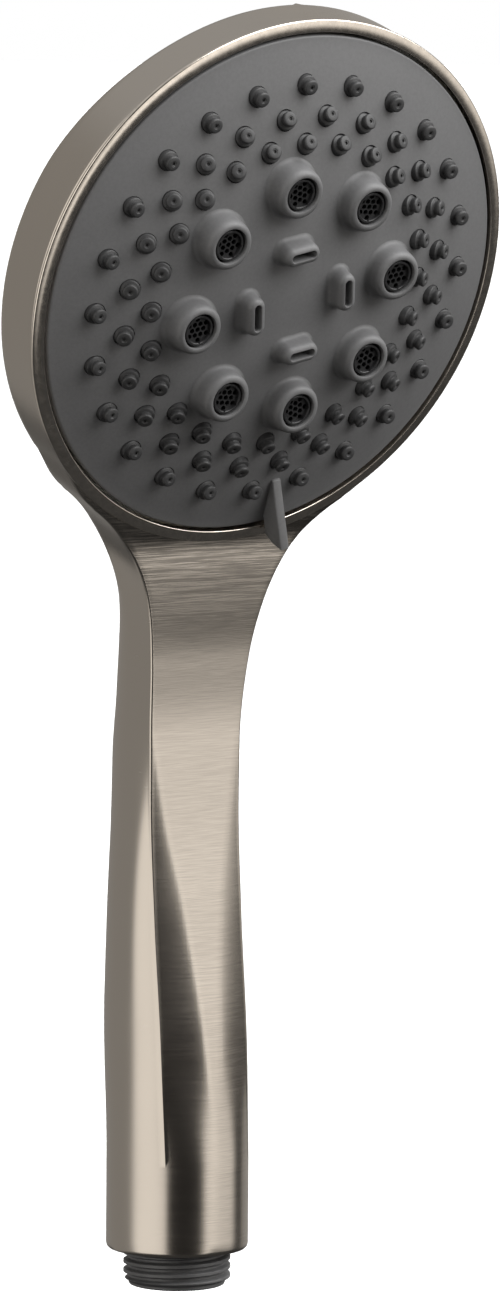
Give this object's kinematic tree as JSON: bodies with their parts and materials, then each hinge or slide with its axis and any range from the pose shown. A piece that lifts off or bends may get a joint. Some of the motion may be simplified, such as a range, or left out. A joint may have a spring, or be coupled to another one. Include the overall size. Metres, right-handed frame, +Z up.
{
  "type": "handheld shower head",
  "caption": "Handheld shower head with a round domed spray face that turns between spray settings, rubber nozzles, a slim curved handle and a threaded hose inlet.",
  "frame": {"origin": "centre of the threaded inlet's end face", "axes": "+Z up the handle from the inlet, -Y the side that the spray leaves, +X to the right seen from the front"},
  "size_m": [0.1066, 0.061, 0.2502],
  "materials": {
    "brushed_nickel": "brushed satin nickel plating over moulded ABS",
    "face_grey": "satin mid-grey moulded plastic",
    "nozzle_rubber": "dark charcoal silicone rubber",
    "aerator_dark": "dark grey moulded grid",
    "thread_grey": "mid-grey moulded plastic",
    "white_plastic": "natural white acetal",
    "steel": "plain stainless steel",
    "black_seal": "black nitrile rubber"
  },
  "bodies": {
    "handset": {"body_shell": "brushed_nickel", "trim_ring": "brushed_nickel", "inlet_connector": "thread_grey", "inlet_screen": "steel", "flow_regulator": "white_plastic", "tube_o_ring": "black_seal", "waterway_tube": "white_plastic", "head_manifold": "white_plastic", "pivot_o_ring": "black_seal", "port_seal": "black_seal", "port_seal_spring": "steel", "detent_spring": "steel"},
    "spray_face": {"face_plate": "face_grey", "nozzle_mat": "nozzle_rubber", "aerator_insert_1": "aerator_dark", "aerator_insert_2": "aerator_dark", "aerator_insert_3": "aerator_dark", "aerator_insert_4": "aerator_dark", "aerator_insert_5": "aerator_dark", "aerator_insert_6": "aerator_dark", "aerator_insert_7": "aerator_dark", "aerator_insert_8": "aerator_dark", "distributor_plate": "white_plastic", "diverter_disc": "white_plastic", "distributor_screw_1": "steel", "distributor_screw_2": "steel", "distributor_screw_3": "steel", "distributor_screw_4": "steel", "pivot_screw": "steel", "pivot_washer": "steel", "pivot_sleeve": "white_plastic", "turbine_axle": "steel"},
    "turbine_wheel": {"turbine": "white_plastic"},
    "detent": {"detent_plunger": "white_plastic"}
  },
  "joints": [
    {"name": "face_turn", "type": "hinge", "parent": "handset", "child": "spray_face", "pos_m": [0, -0.02886, 0.19686], "axis": [0, -0.9461, -0.3239], "range_deg": [-50, 25]},
    {"name": "turbine_spin", "type": "hinge", "parent": "spray_face", "child": "turbine_wheel", "pos_m": [0, -0.02886, 0.19686], "axis": [0, -0.9461, -0.3239], "continuous": true},
    {"name": "detent_travel", "type": "slide", "parent": "handset", "child": "detent", "axis": [0, -0.9461, -0.3239], "range_m": [0, 0.0006], "stiffness_N_per_m": 400}
  ]
}
